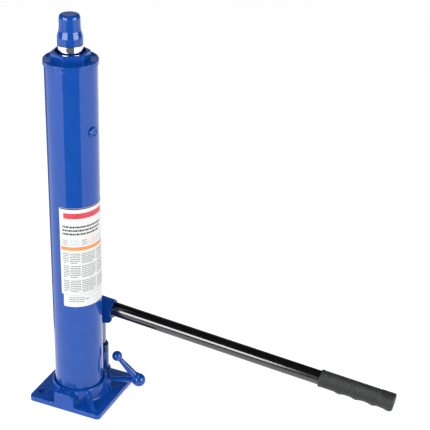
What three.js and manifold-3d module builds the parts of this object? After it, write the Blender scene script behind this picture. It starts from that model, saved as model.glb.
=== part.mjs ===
// Long-ram hydraulic jack: a square base casting with a pump and a release valve, a tall reservoir tube
// round a pressure cylinder, a chromed ram, and a pump handle that plugs into a rocking socket.
// Millimetres, +Z up. The origin is on the underside of the base, under the ram's axis.
import * as THREE from 'three';
import { mergeVertices } from 'three/addons/utils/BufferGeometryUtils.js';
import Module from 'manifold-3d';

const wasm = await Module();
wasm.setup();

// ---------------------------------------------------------------- driving dimensions
const GAP = 0.3; // left between pieces that touch or slide on each other
const FINE = 32; // facets round a large turned piece
const COARSE = 18; // facets round a small one

const PLATE_SIDE = 120;
const PLATE_THICKNESS = 8.8;
const PLATE_CORNER_RADIUS = 7;
const PLATE_X = 0.5; // plate centre, seen from the ram's axis
const PLATE_Y = 8;
const BOLT_HOLE_RADIUS = 5;
const BOLT_HOLES = [[-47.5, -33.5], [48.5, 49.5]];

const BOSS_TOP = 30.9;
const BOSS_FOOT_RADIUS = 44.5;
const BOSS_TOP_RADIUS = 39.4;
const TANK_FLOOR = 25.5; // floor of the oil space
const CYLINDER_SEAT = 26;
const CYLINDER_SEAT_RADIUS = 25.6;

const TUBE_RADIUS = 36.3;
const TUBE_WALL = 3;
const TUBE_TOP = 538.4;
const CYLINDER_RADIUS = 25;
const CYLINDER_BORE = 20.5;
const CYLINDER_TOP = 517.6;

const NUT_FLANGE_RADIUS = 37.8;
const NUT_FLANGE_TOP = 545.6;
const NUT_ACROSS_FLATS = 48;
const NUT_TOP = 556.3;
const HEXAGON_TURN = 7; // degrees
const WIPER_TOP = 553.8;

const RAM_RADIUS = 17.4;
const RAM_SHOULDER = 566; // where the painted head starts
const RAM_TOP = 607;
const PISTON_RADIUS = 20.2;
const PISTON_TOP = 54;
const RAM_SPIGOT_RADIUS = 8;
const HEAD_SPIGOT_RADIUS = 9;

const FILLER_HEIGHT = 447.5;
const FILLER_HEADING = -12; // degrees from +X

const LABEL_THICKNESS = 0.25;
const LABEL_END = 31; // heading of the labels' hidden edge

const PUMP_X = 8;
const PUMP_Y = 53;
const PUMP_RADIUS = 13;
const PUMP_BOSS_TOP = 18;
const PUMP_RECESS_RADIUS = 10.3;
const PUMP_RECESS_FLOOR = 8;
const PUMP_TOP = 50.5;
const GLAND_TOP = 63.5;
const PLUNGER_RADIUS = 6;
const PLUNGER_HEAD_RADIUS = 9.25;

const HANDLE_HEADING = 3.6; // degrees from +X towards +Y
const HANDLE_SLOPE = 7; // degrees that the stowed handle falls away from the jack
const HANDLE_AXIS_HEIGHT = 132.4; // above the pump's axis
const HANDLE_RADIUS = 10.9;
const HANDLE_WALL = 1.8;
const HANDLE_INNER_END = -9;
const HANDLE_OUTER_END = 463;
const GRIP_START = 354.5;
const GRIP_END = 467.5;
const GRIP_RADIUS = 13.3;
const FINGER_BUMPS = 4;
const FINGER_PITCH = 25.4;
const FINGER_FIRST = 386.7;

const SOCKET_RADIUS = 14;
const SOCKET_BORE = 11.3;
const SOCKET_MOUTH = 24;
const SOCKET_BACK = -13;
const CHEEK_INNER = 5.9; // half gap between the cheeks
const CHEEK_OUTER = 10.4;
const TANG_HALF_THICKNESS = 5.6; // plunger eye and bracket eye, between the cheeks
const PIN_RADIUS = 3.5;
const LEVER_ARM = 25; // fulcrum pin to plunger pin
const HALF_SWING = 20; // degrees each side of level, so that the plunger pin moves nearly straight
const PLUNGER_PIN_HEIGHT = 113;

const VALVE_AXIS_HEIGHT = 19;
const VALVE_HEADING = 24;
const VALVE_HUB_X = 79.2;
const VALVE_HUB_Y = 44.1;
const VALVE_HUB_RADIUS = 10.6;
const VALVE_KNOB_RADIUS = 7.9;
const VALVE_KNOB_X = -32.9; // back along the spindle from the hub
const VALVE_KNOB_Z = 43.7;
const SPINDLE_RADIUS = 4.6;
const SPINDLE_TIP = -64;

// Check valves in the underside of the base: a ball held up against its seat by a spring on a plug.
const SEAT_HEIGHT = 13;
const VALVE_BORE = 4.2;
const BALL_RADIUS = 3;
const BALL_HEIGHT = 10.2;
const CHECK_VALVES = {
  suction: [-7.5, 28.2],
  discharge: [4, 26.7],
  relief: [18, -26],
};

// ---------------------------------------------------------------- materials
function finish(color, roughness, metalness) {
  return new THREE.MeshStandardMaterial({ color, roughness, metalness });
}

const BLUE = finish(0x1c4fb4, 0.3, 0.1);
const CHROME = finish(0xd6d6d2, 0.12, 1);
const STEEL = finish(0x8d9096, 0.4, 0.9);
const IRON = finish(0x5c5f64, 0.6, 0.7);
const BRASS = finish(0xb08d4a, 0.35, 0.9);
const BLACK = finish(0x101112, 0.2, 0.2);
const RUBBER = finish(0x3b3d3d, 0.75, 0);
const SEAL = finish(0x1b1b1c, 0.6, 0);
const LABEL = finish(0xf2f2ef, 0.45, 0);

// ---------------------------------------------------------------- solids
function radians(degrees) {
  return THREE.MathUtils.degToRad(degrees);
}

function toSolid(geometry) {
  const bare = geometry.clone();
  bare.deleteAttribute('normal');
  bare.deleteAttribute('uv');
  const merged = mergeVertices(bare, 1e-4);
  const corners = merged.index.array;
  const triangles = [];
  for (let i = 0; i < corners.length; i += 3) {
    const [a, b, c] = corners.slice(i, i + 3);
    if (a !== b && b !== c && c !== a) {
      triangles.push(a, b, c);
    }
  }
  const mesh = new wasm.Mesh({
    numProp: 3,
    vertProperties: new Float32Array(merged.attributes.position.array),
    triVerts: new Uint32Array(triangles),
  });
  return new wasm.Manifold(mesh);
}

function toGeometry(solid) {
  const mesh = solid.getMesh();
  const geometry = new THREE.BufferGeometry();
  geometry.setAttribute('position', new THREE.BufferAttribute(new Float32Array(mesh.vertProperties), 3));
  geometry.setIndex(new THREE.BufferAttribute(new Uint32Array(mesh.triVerts), 1));
  geometry.computeVertexNormals();
  return geometry;
}

// Turned about +Z from [radius, height] points, counterclockwise round the section. A section that
// doesn't start and end on the axis is closed on itself, which makes a ring.
function turned(section, facets = FINE) {
  const points = section.map(([radius, height]) => new THREE.Vector2(radius, height));
  if (section[0][0] > 0 || section[section.length - 1][0] > 0) {
    points.push(points[0].clone());
  }
  return toSolid(new THREE.LatheGeometry(points, facets).rotateX(Math.PI / 2));
}

function ring(inner, outer, low, high, facets = FINE) {
  return turned([[inner, low], [outer, low], [outer, high], [inner, high]], facets);
}

// A round bar, or a cone where the two radii differ, from one point to another.
function bar(from, to, radius, endRadius = radius, facets = COARSE) {
  const start = new THREE.Vector3(...from);
  const along = new THREE.Vector3(...to).sub(start);
  const geometry = new THREE.CylinderGeometry(endRadius, radius, along.length(), facets);
  geometry.translate(0, along.length() / 2, 0);
  const turn = new THREE.Quaternion();
  turn.setFromUnitVectors(new THREE.Vector3(0, 1, 0), along.clone().normalize());
  geometry.applyQuaternion(turn).translate(...from);
  return toSolid(geometry);
}

function ball(centre, radius, facets = COARSE) {
  return toSolid(new THREE.SphereGeometry(radius, facets, facets / 2).translate(...centre));
}

function block(low, high) {
  const size = high.map((value, i) => value - low[i]);
  const middle = high.map((value, i) => (value + low[i]) / 2);
  return toSolid(new THREE.BoxGeometry(...size).translate(...middle));
}

// The outline of a tight band round circles given as [x, y, radius].
function bandShape(circles, steps = 24) {
  const points = [];
  for (const [x, y, radius] of circles) {
    for (let i = 0; i < steps; i += 1) {
      const angle = (2 * Math.PI * i) / steps;
      points.push(new THREE.Vector2(x + radius * Math.cos(angle), y + radius * Math.sin(angle)));
    }
  }
  points.sort((a, b) => a.x - b.x || a.y - b.y);
  const halfHull = (list) => {
    const chain = [];
    for (const point of list) {
      while (chain.length > 1) {
        const [a, b] = chain.slice(-2);
        const turn = (b.x - a.x) * (point.y - a.y) - (b.y - a.y) * (point.x - a.x);
        if (turn > 1e-6) {
          break;
        }
        chain.pop();
      }
      chain.push(point);
    }
    return chain.slice(0, -1);
  };
  return new THREE.Shape([...halfHull(points), ...halfHull([...points].reverse())]);
}

function polygonShape(corners) {
  return new THREE.Shape(corners.map(([x, y]) => new THREE.Vector2(x, y)));
}

// A flat plate: its outline lies in X and Y, and it is extruded upwards.
function flatPlate(shape, low, high, curveSegments = 8) {
  const options = { depth: high - low, bevelEnabled: false, curveSegments };
  return toSolid(new THREE.ExtrudeGeometry(shape, options).translate(0, 0, low));
}

// An upright plate: its outline lies in X and Z, and it is extruded along Y.
function uprightPlate(shape, low, high) {
  const geometry = new THREE.ExtrudeGeometry(shape, { depth: high - low, bevelEnabled: false });
  return toSolid(geometry.rotateX(Math.PI / 2).translate(0, high, 0));
}

function unite(...solids) {
  return solids.reduce((whole, piece) => whole.add(piece));
}

function cut(solid, ...tools) {
  return tools.reduce((left, tool) => left.subtract(tool), solid);
}

function add(group, name, solid, material) {
  const mesh = new THREE.Mesh(toGeometry(solid), material);
  mesh.name = name;
  group.add(mesh);
}

// ---------------------------------------------------------------- places worked out from the dimensions
const pumpCos = Math.cos(radians(HANDLE_HEADING));
const pumpSin = Math.sin(radians(HANDLE_HEADING));
const valveCos = Math.cos(radians(VALVE_HEADING));
const valveSin = Math.sin(radians(VALVE_HEADING));

const fulcrumX = -LEVER_ARM * Math.cos(radians(HALF_SWING));
const fulcrumZ = PLUNGER_PIN_HEIGHT + LEVER_ARM * Math.sin(radians(HALF_SWING));
const midSwingShift = LEVER_ARM * (1 - Math.cos(radians(HALF_SWING)));

// A point given beside the pump's axis, with X along the handle.
function fromPump(x, y, z) {
  return [PUMP_X + x * pumpCos - y * pumpSin, PUMP_Y + x * pumpSin + y * pumpCos, z];
}

// A point on the release valve's axis, at a distance outwards from its hub.
function onValveAxis(distance) {
  return [VALVE_HUB_X + distance * valveCos, VALVE_HUB_Y + distance * valveSin, VALVE_AXIS_HEIGHT];
}

// A point on the handle's axis in the pump's own frame, at a distance outwards from the pump.
function onHandleAxis(distance) {
  const slope = radians(HANDLE_SLOPE);
  return [distance * Math.cos(slope), 0, HANDLE_AXIS_HEIGHT - distance * Math.sin(slope)];
}

// ---------------------------------------------------------------- base casting
const BRACKET_SCREWS = [[-35.9, 2], [-22, 9.8]]; // in the pump's own frame
const BRACKET_SCREW_RADIUS = 2.4;

function plateOutline() {
  const half = PLATE_SIDE / 2 - PLATE_CORNER_RADIUS;
  const corners = [[-half, -half], [half, -half], [half, half], [-half, half]];
  return bandShape(corners.map(([x, y]) => [PLATE_X + x, PLATE_Y + y, PLATE_CORNER_RADIUS]));
}

// A thin web standing on the plate and leaning on the boss.
function web(heading, reach, thickness) {
  const low = PLATE_THICKNESS - 1;
  const outline = polygonShape([[35, low], [reach, low], [reach, low + 1.8], [41, 28.5], [35, 28.5]]);
  return uprightPlate(outline, -thickness / 2, thickness / 2).rotate([0, 0, heading]);
}

function drilling(place, low, high, radius, facets = 16) {
  return bar([...place, low], [...place, high], radius, radius, facets);
}

// The oil ways: drilled holes that join the pump, the check valves, the cylinder and the oil space.
function oilWays() {
  const { suction, discharge, relief } = CHECK_VALVES;
  const way = (from, to, radius) => bar(from, to, radius, radius, 12);
  const reliefReturn = [relief[0] * 1.1, relief[1] * 1.1];
  const tools = Object.values(CHECK_VALVES).map((place) => drilling(place, -1, SEAT_HEIGHT, VALVE_BORE));
  tools.push(drilling([0, 0], 4, CYLINDER_SEAT + 1, 3));
  tools.push(drilling(suction, SEAT_HEIGHT - 1, TANK_FLOOR + 1, 1.8));
  tools.push(drilling(discharge, SEAT_HEIGHT - 1, SEAT_HEIGHT + 4.5, 1.6));
  tools.push(drilling(relief, SEAT_HEIGHT - 1, SEAT_HEIGHT + 4.5, 1.4));
  tools.push(drilling(reliefReturn, 6, TANK_FLOOR + 1, 1.2));
  tools.push(way([...suction, 6], [PUMP_X, PUMP_Y, 6], 1.4));
  tools.push(drilling([PUMP_X, PUMP_Y], 5, PUMP_RECESS_FLOOR + 1, 1.8));
  tools.push(way([PUMP_X, PUMP_Y - 4, 9.4], [...discharge, 16], 1.3));
  tools.push(way([...discharge, 8], [0, 0, 8], 1.5));
  tools.push(way([0, 0, 16], [...relief, 16], 1.3));
  return tools;
}

function releaseWays() {
  const throat = onValveAxis(SPINDLE_TIP - 16);
  const drain = onValveAxis(SPINDLE_TIP + 4);
  return [
    bar(onValveAxis(SPINDLE_TIP - 0.5), onValveAxis(-30), SPINDLE_RADIUS + GAP),
    bar(onValveAxis(-50.4), onValveAxis(-47.6), 6.6),
    bar(throat, onValveAxis(SPINDLE_TIP), 2, 2, 12),
    bar([0, 0, VALVE_AXIS_HEIGHT], throat, 2, 2, 12),
    drilling(drain.slice(0, 2), VALVE_AXIS_HEIGHT, TANK_FLOOR + 1, 2),
  ];
}

function baseCasting() {
  const plate = flatPlate(plateOutline(), 0, PLATE_THICKNESS);
  const boss = turned([
    [0, 0], [BOSS_FOOT_RADIUS, 0], [BOSS_FOOT_RADIUS, PLATE_THICKNESS + 0.2], [42.6, 11],
    [BOSS_TOP_RADIUS + 0.9, BOSS_TOP - 1], [BOSS_TOP_RADIUS, BOSS_TOP], [0, BOSS_TOP],
  ]);
  const frontEdge = PLATE_Y - PLATE_SIDE / 2;
  const pad = uprightPlate(
    polygonShape([[-16.5, 4], [17.5, 4], [17.5, 24.5], [12.5, 29.5], [-12.5, 29.5], [-15.5, 26]]),
    frontEdge,
    frontEdge + 20,
  );
  const pumpBoss = flatPlate(
    bandShape([[PUMP_X, PUMP_Y, 15], [PUMP_X + 8, PUMP_Y - 3, 11]]),
    0,
    PUMP_BOSS_TOP,
  );
  const valveBoss = bar(onValveAxis(-60), onValveAxis(-42), 8.6);
  const solid = unite(plate, boss, pad, pumpBoss, valveBoss, web(-42, 67.5, 5), web(21, 50, 5));
  const tankPocket = turned([
    [0, CYLINDER_SEAT], [CYLINDER_SEAT_RADIUS, CYLINDER_SEAT], [CYLINDER_SEAT_RADIUS, TANK_FLOOR],
    [TUBE_RADIUS + 0.9, TANK_FLOOR], [TUBE_RADIUS + 0.9, BOSS_TOP + 1], [0, BOSS_TOP + 1],
  ]);
  const pumpPlace = [PUMP_X, PUMP_Y];
  const pumpRecess = unite(
    drilling(pumpPlace, PUMP_RECESS_FLOOR, PUMP_BOSS_TOP + 1, PUMP_RECESS_RADIUS, 26),
    drilling(pumpPlace, PUMP_BOSS_TOP, BOSS_TOP + 1, PUMP_RADIUS + 0.5, 26),
  );
  const boltHoles = BOLT_HOLES.map((place) => drilling(place, -1, PLATE_THICKNESS + 1, BOLT_HOLE_RADIUS));
  const screwHoles = BRACKET_SCREWS.map(([x, y]) => {
    const place = fromPump(x, y, 0).slice(0, 2);
    return drilling(place, 2.5, PLATE_THICKNESS + 1, BRACKET_SCREW_RADIUS + GAP);
  });
  return cut(solid, tankPocket, pumpRecess, ...boltHoles, ...screwHoles, ...oilWays(), ...releaseWays());
}

// A coiled wire: turns round a rising helix, with flat ends.
class Helix extends THREE.Curve {
  constructor(radius, low, high, turns) {
    super();
    Object.assign(this, { radius, low, high, turns });
  }

  getPoint(t, target = new THREE.Vector3()) {
    const angle = 2 * Math.PI * this.turns * t;
    const height = this.low + (this.high - this.low) * t;
    return target.set(this.radius * Math.cos(angle), this.radius * Math.sin(angle), height);
  }
}

function coil(radius, wire, low, high, turns) {
  const section = new THREE.Shape();
  section.absarc(0, 0, wire, 0, 2 * Math.PI, false);
  const options = {
    steps: turns * 10,
    extrudePath: new Helix(radius, low, high, turns),
    curveSegments: 3,
  };
  return toSolid(new THREE.ExtrudeGeometry(section, options));
}

function addCheckValves(jack) {
  for (const [kind, [x, y]] of Object.entries(CHECK_VALVES)) {
    const group = new THREE.Group();
    group.position.set(x, y, 0);
    jack.add(group);
    add(group, `${kind}_ball`, ball([0, 0, BALL_HEIGHT], BALL_RADIUS, 12), STEEL);
    add(group, `${kind}_spring`, coil(2.3, 0.4, 4.8, 7.4, 3), STEEL);
    const plug = bar([0, 0, 0.4], [0, 0, 4], VALVE_BORE - GAP);
    const keyHole = flatPlate(bandShape([[0, 0, 1.8]], 6), 0, 2.4);
    add(group, `${kind}_plug`, cut(plug, keyHole), STEEL);
  }
}

// ---------------------------------------------------------------- reservoir, cylinder and top nut
function fillerPoint(radius) {
  const angle = radians(FILLER_HEADING);
  return [radius * Math.cos(angle), radius * Math.sin(angle), FILLER_HEIGHT];
}

function fillerPlug() {
  const shank = bar(fillerPoint(31), fillerPoint(37.5), 3.7);
  const head = bar(fillerPoint(TUBE_RADIUS + GAP), fillerPoint(39.4), 7.5, 7);
  const dimple = ball(fillerPoint(42), 4, 12);
  return cut(unite(shank, head), dimple);
}

function tankNut() {
  const flange = turned([
    [0, CYLINDER_TOP + GAP], [33, CYLINDER_TOP + GAP],
    [33, TUBE_TOP + GAP], [NUT_FLANGE_RADIUS, TUBE_TOP + GAP],
    [NUT_FLANGE_RADIUS, NUT_FLANGE_TOP - 1.3], [NUT_FLANGE_RADIUS - 1.2, NUT_FLANGE_TOP],
    [30, NUT_FLANGE_TOP - 1.1], [0, NUT_FLANGE_TOP - 1.1],
  ]);
  const corner = NUT_ACROSS_FLATS / 2 / Math.cos(Math.PI / 6);
  const hexagon = new THREE.CylinderGeometry(corner, corner, 12, 6);
  hexagon.rotateX(Math.PI / 2).rotateZ(radians(HEXAGON_TURN)).translate(0, 0, NUT_TOP - 6);
  const chamfer = turned([[0, 540], [29, 540], [29, NUT_TOP - 2.2], [24.6, NUT_TOP], [0, NUT_TOP]]);
  const body = flange.add(toSolid(hexagon).intersect(chamfer));
  const bushRecess = drilling([0, 0], CYLINDER_TOP - 1, 541.6, 22.3, FINE);
  const bore = drilling([0, 0], CYLINDER_TOP - 1, NUT_TOP + 1, RAM_RADIUS + 0.5, FINE);
  const wiperRecess = drilling([0, 0], 548.9, NUT_TOP + 1, 20.9, FINE);
  return cut(body, bushRecess, bore, wiperRecess);
}

function labelPatch(start, low, high) {
  const inner = TUBE_RADIUS + 0.15;
  const shape = new THREE.Shape();
  shape.absarc(0, 0, inner + LABEL_THICKNESS, radians(start), radians(LABEL_END), false);
  shape.absarc(0, 0, inner, radians(LABEL_END), radians(start), true);
  return flatPlate(shape, low, high, 10);
}

function addTank(jack) {
  const innerRadius = TUBE_RADIUS - TUBE_WALL;
  const sealBed = TANK_FLOOR + GAP;
  const gasketBed = CYLINDER_SEAT + GAP;
  const tube = ring(innerRadius, TUBE_RADIUS, TANK_FLOOR + 2.6, TUBE_TOP);
  add(jack, 'base_casting', baseCasting(), BLUE);
  add(jack, 'reservoir_tube', cut(tube, bar(fillerPoint(30), fillerPoint(40), 4)), BLUE);
  const seal = ring(innerRadius + 0.2, TUBE_RADIUS - 0.1, sealBed, TANK_FLOOR + 2.3);
  const cylinder = ring(CYLINDER_BORE, CYLINDER_RADIUS, CYLINDER_SEAT + 2.6, CYLINDER_TOP);
  const gasket = ring(CYLINDER_BORE, CYLINDER_RADIUS, gasketBed, CYLINDER_SEAT + 2.3);
  add(jack, 'tank_seal_ring', seal, SEAL);
  add(jack, 'pressure_cylinder', cylinder, STEEL);
  add(jack, 'cylinder_gasket', gasket, BRASS);
  add(jack, 'tank_nut', tankNut(), BLUE);
  add(jack, 'guide_bush', ring(RAM_RADIUS + GAP, 22, CYLINDER_TOP + 0.6, 541.3), BRASS);
  add(jack, 'rod_wiper', ring(RAM_RADIUS + GAP, 20.6, 549.2, WIPER_TOP), SEAL);
  add(jack, 'filler_plug', fillerPlug(), BLUE);
  add(jack, 'main_label', labelPatch(-97, 197, 337.5), LABEL);
  add(jack, 'lower_label', labelPatch(-92, 177, 196.6), LABEL);
  const [sumpX, sumpY] = CHECK_VALVES.suction;
  const strainer = turned([[0, TANK_FLOOR + GAP], [3.4, TANK_FLOOR + GAP], [2.6, 31], [0, 31]], 16);
  add(jack, 'oil_strainer', strainer.translate([sumpX, sumpY, 0]), BRASS);
}

// ---------------------------------------------------------------- ram
function addRam(jack) {
  const low = 31.5;
  const rod = turned([
    [0, low], [RAM_SPIGOT_RADIUS, low],
    [RAM_SPIGOT_RADIUS, PISTON_TOP + GAP], [RAM_RADIUS, PISTON_TOP + GAP],
    [RAM_RADIUS, RAM_SHOULDER - GAP], [HEAD_SPIGOT_RADIUS, RAM_SHOULDER - GAP],
    [HEAD_SPIGOT_RADIUS, 590], [0, 590],
  ]);
  add(jack, 'ram_rod', rod, CHROME);
  const socket = HEAD_SPIGOT_RADIUS + GAP;
  const head = turned([
    [socket, RAM_SHOULDER], [RAM_RADIUS, RAM_SHOULDER], [RAM_RADIUS, 575.8], [16.7, 579.8], [15, 585],
    [14.5, 590], [14.4, 601.8], [13.5, 605.2], [10.6, RAM_TOP], [0, RAM_TOP], [0, 590.5], [socket, 590.5],
  ]);
  add(jack, 'ram_head', head, BLUE);
  const bore = RAM_SPIGOT_RADIUS + GAP;
  add(jack, 'piston', ring(bore, PISTON_RADIUS, 45.3, PISTON_TOP), IRON);
  const cup = turned([
    [bore, 41], [14, 41], [18.2, 38.3], [PISTON_RADIUS, 38.3], [PISTON_RADIUS, 45], [bore, 45],
  ]);
  add(jack, 'piston_cup', cup, SEAL);
  const nut = flatPlate(bandShape([[0, 0, 13]], 6), 33, 38);
  add(jack, 'piston_nut', cut(nut, drilling([0, 0], 30, 41, bore)), STEEL);
}

// ---------------------------------------------------------------- pump, bracket, socket and handle
function plunger() {
  const rod = bar([0, 0, 12], [0, 0, 66], PLUNGER_RADIUS);
  const eyeRadius = 7.6;
  const head = bar([0, 0, GLAND_TOP + 0.7], [0, 0, 130], PLUNGER_HEAD_RADIUS);
  const tangFoot = 100;
  const tang = uprightPlate(
    bandShape([[0, PLUNGER_PIN_HEIGHT, eyeRadius], [0, tangFoot - 12, eyeRadius]]),
    -TANG_HALF_THICKNESS,
    TANG_HALF_THICKNESS,
  );
  const shoulder = block([-20, -20, 60], [20, 20, tangFoot]);
  const slotRadius = PIN_RADIUS + 0.35;
  const slot = uprightPlate(
    bandShape([[0, PLUNGER_PIN_HEIGHT, slotRadius], [midSwingShift, PLUNGER_PIN_HEIGHT, slotRadius]]),
    -20,
    20,
  );
  return cut(unite(rod, head.intersect(unite(tang, shoulder))), slot);
}

function fulcrumBracket() {
  const low = PLATE_THICKNESS + GAP;
  const foot = block([-40, -6.5, low], [-15.8, 14.2, 16]);
  const upright = uprightPlate(
    bandShape([[fulcrumX, fulcrumZ, 7.5], [-29, 14, 2.5], [-18.4, 14, 2.5]]),
    -TANG_HALF_THICKNESS,
    TANG_HALF_THICKNESS,
  );
  const pinHole = bar([fulcrumX, -20, fulcrumZ], [fulcrumX, 20, fulcrumZ], PIN_RADIUS + GAP);
  const screwHoles = BRACKET_SCREWS.map((place) => drilling(place, 0, 30, BRACKET_SCREW_RADIUS + GAP));
  return cut(unite(foot, upright), pinHole, ...screwHoles);
}

function bracketScrew([x, y]) {
  const head = bar([x, y, 16.3], [x, y, 20.3], 3.8);
  const shank = bar([x, y, 3], [x, y, 17], BRACKET_SCREW_RADIUS);
  const keyHole = flatPlate(bandShape([[x, y, 2]], 6), 18.3, 21);
  return cut(unite(head, shank), keyHole);
}

function handleSocket() {
  const tube = bar(onHandleAxis(SOCKET_BACK), onHandleAxis(SOCKET_MOUTH), SOCKET_RADIUS, SOCKET_RADIUS, 26);
  const back = onHandleAxis(SOCKET_BACK + 1);
  const front = onHandleAxis(SOCKET_MOUTH - 1);
  const outline = bandShape([
    [fulcrumX, fulcrumZ, 8.5], [0, PLUNGER_PIN_HEIGHT, 8], [16, 115.5, 8],
    [back[0], back[2], 1], [front[0], front[2], 1],
  ]);
  const cheeks = [[-CHEEK_OUTER, -CHEEK_INNER], [CHEEK_INNER, CHEEK_OUTER]];
  const body = unite(tube, ...cheeks.map(([low, high]) => uprightPlate(outline, low, high)));
  const bore = bar(onHandleAxis(HANDLE_INNER_END - GAP), onHandleAxis(60), SOCKET_BORE, SOCKET_BORE, 26);
  const plungerSlot = block([-9.8, -CHEEK_INNER, 100], [9.8, CHEEK_INNER, 125]);
  const pinHoles = [[0, PLUNGER_PIN_HEIGHT], [fulcrumX, fulcrumZ]].map(([x, z]) => (
    bar([x, -20, z], [x, 20, z], PIN_RADIUS + GAP)
  ));
  return cut(body, bore, plungerSlot, ...pinHoles);
}

function headedPin(x, z) {
  const head = bar([x, -12.9, z], [x, -CHEEK_OUTER - GAP, z], 5);
  return unite(head, bar([x, -12, z], [x, 12.9, z], PIN_RADIUS));
}

function pinClip(x, z) {
  const low = CHEEK_OUTER + GAP;
  const outer = bar([x, low, z], [x, low + 1.2, z], 5.4);
  return outer.subtract(bar([x, 0, z], [x, 20, z], PIN_RADIUS + GAP));
}

function addPump(jack) {
  const pump = new THREE.Group();
  pump.position.set(PUMP_X, PUMP_Y, 0);
  pump.rotation.z = radians(HANDLE_HEADING);
  jack.add(pump);
  const bore = PLUNGER_RADIUS + GAP;
  const shoulder = PUMP_BOSS_TOP + 1.6;
  const cylinder = turned([
    [bore, 10.8], [10, 10.8], [10, shoulder],
    [PUMP_RADIUS, shoulder], [PUMP_RADIUS, PUMP_TOP], [bore, PUMP_TOP],
  ], 26);
  add(pump, 'pump_cylinder', cylinder, BLUE);
  add(pump, 'pump_gasket', ring(10.6, 12.8, PUMP_BOSS_TOP + GAP, PUMP_BOSS_TOP + 1.3, 26), BRASS);
  const gland = turned([
    [9.3, PUMP_TOP + GAP], [PUMP_RADIUS, PUMP_TOP + GAP], [PUMP_RADIUS, GLAND_TOP - 2.2], [11, GLAND_TOP],
    [bore + 0.1, GLAND_TOP], [bore + 0.1, 56.6], [9.3, 56.6],
  ], 26);
  add(pump, 'pump_gland_nut', gland, BLUE);
  add(pump, 'plunger_seal', ring(bore, 9, PUMP_TOP + 0.6, 56.3, 26), SEAL);
  add(pump, 'pump_plunger', plunger(), STEEL);
  add(pump, 'fulcrum_bracket', fulcrumBracket(), BLUE);
  BRACKET_SCREWS.forEach((place, i) => add(pump, `bracket_screw_${i + 1}`, bracketScrew(place), STEEL));
  add(pump, 'handle_socket', handleSocket(), BLUE);
  add(pump, 'fulcrum_pin', headedPin(fulcrumX, fulcrumZ), STEEL);
  add(pump, 'plunger_pin', headedPin(0, PLUNGER_PIN_HEIGHT), STEEL);
  add(pump, 'fulcrum_pin_clip', pinClip(fulcrumX, fulcrumZ), STEEL);
  add(pump, 'plunger_pin_clip', pinClip(0, PLUNGER_PIN_HEIGHT), STEEL);
  addHandle(pump);
}

function grip() {
  const sleeve = turned([
    [HANDLE_RADIUS + GAP, GRIP_START], [GRIP_RADIUS - 0.6, GRIP_START], [GRIP_RADIUS, GRIP_START + 1.5],
    [GRIP_RADIUS, GRIP_END - 3], [GRIP_RADIUS - 2.5, GRIP_END], [3, GRIP_END],
    [3, HANDLE_OUTER_END + GAP], [HANDLE_RADIUS + GAP, HANDLE_OUTER_END + GAP],
  ], 20).rotate([0, 90, 0]);
  const bumps = [];
  for (let i = 0; i < FINGER_BUMPS; i += 1) {
    const along = Math.min(FINGER_FIRST + i * FINGER_PITCH, GRIP_END - 8);
    bumps.push(ball([along, 0, 8.2 - GRIP_RADIUS - 3], 8, 10));
  }
  const bore = HANDLE_RADIUS + GAP;
  const hollow = bar([GRIP_START - 1, 0, 0], [HANDLE_OUTER_END + GAP, 0, 0], bore, bore, 20);
  const vent = bar([450, 0, 0], [GRIP_END + 5, 0, 0], 3);
  return cut(unite(sleeve, ...bumps), hollow, vent);
}

function addHandle(pump) {
  const handle = new THREE.Group();
  handle.position.set(0, 0, HANDLE_AXIS_HEIGHT);
  handle.rotation.y = radians(HANDLE_SLOPE);
  pump.add(handle);
  const inner = HANDLE_RADIUS - HANDLE_WALL;
  const tube = ring(inner, HANDLE_RADIUS, HANDLE_INNER_END, HANDLE_OUTER_END, 26).rotate([0, 90, 0]);
  add(handle, 'handle_tube', tube, BLACK);
  add(handle, 'handle_grip', grip(), RUBBER);
}

// ---------------------------------------------------------------- release valve
function addReleaseValve(jack) {
  const valve = new THREE.Group();
  valve.position.set(VALVE_HUB_X, VALVE_HUB_Y, VALVE_AXIS_HEIGHT);
  valve.rotation.z = radians(VALVE_HEADING);
  jack.add(valve);
  const spindleEnd = 4;
  const rollPinHole = bar([1, -20, 0], [1, 20, 0], 1.5 + GAP, 1.5 + GAP, 16);
  const spindle = unite(
    bar([SPINDLE_TIP + 3, 0, 0], [spindleEnd, 0, 0], SPINDLE_RADIUS),
    bar([SPINDLE_TIP, 0, 0], [SPINDLE_TIP + 3, 0, 0], 1.6, SPINDLE_RADIUS),
  );
  add(valve, 'release_spindle', cut(spindle, rollPinHole), STEEL);
  const seal = ring(SPINDLE_RADIUS + GAP, 6.3, -50, -48, COARSE).rotate([0, 90, 0]);
  add(valve, 'release_seal', seal, SEAL);
  const lever = unite(
    ball([0, 0, 0], VALVE_HUB_RADIUS, 24),
    bar([0, 0, 0], [VALVE_KNOB_X, 0, VALVE_KNOB_Z], 6.7, 3.2),
    ball([VALVE_KNOB_X, 0, VALVE_KNOB_Z], VALVE_KNOB_RADIUS, 20),
  );
  const spindleHole = bar([-20, 0, 0], [spindleEnd + GAP, 0, 0], SPINDLE_RADIUS + GAP);
  add(valve, 'release_lever', cut(lever, spindleHole, rollPinHole), BLUE);
  add(valve, 'lever_roll_pin', bar([1, -9.4, 0], [1, 9.4, 0], 1.5, 1.5, 16), STEEL);
}

// ---------------------------------------------------------------- assembly
const jack = new THREE.Group();
addTank(jack);
addCheckValves(jack);
addRam(jack);
addPump(jack);
addReleaseValve(jack);

export default jack;
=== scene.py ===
"""Long-ram hydraulic jack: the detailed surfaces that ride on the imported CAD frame."""
import math
from math import radians

import bpy
from mathutils import Matrix, Vector, geometry, noise


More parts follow.
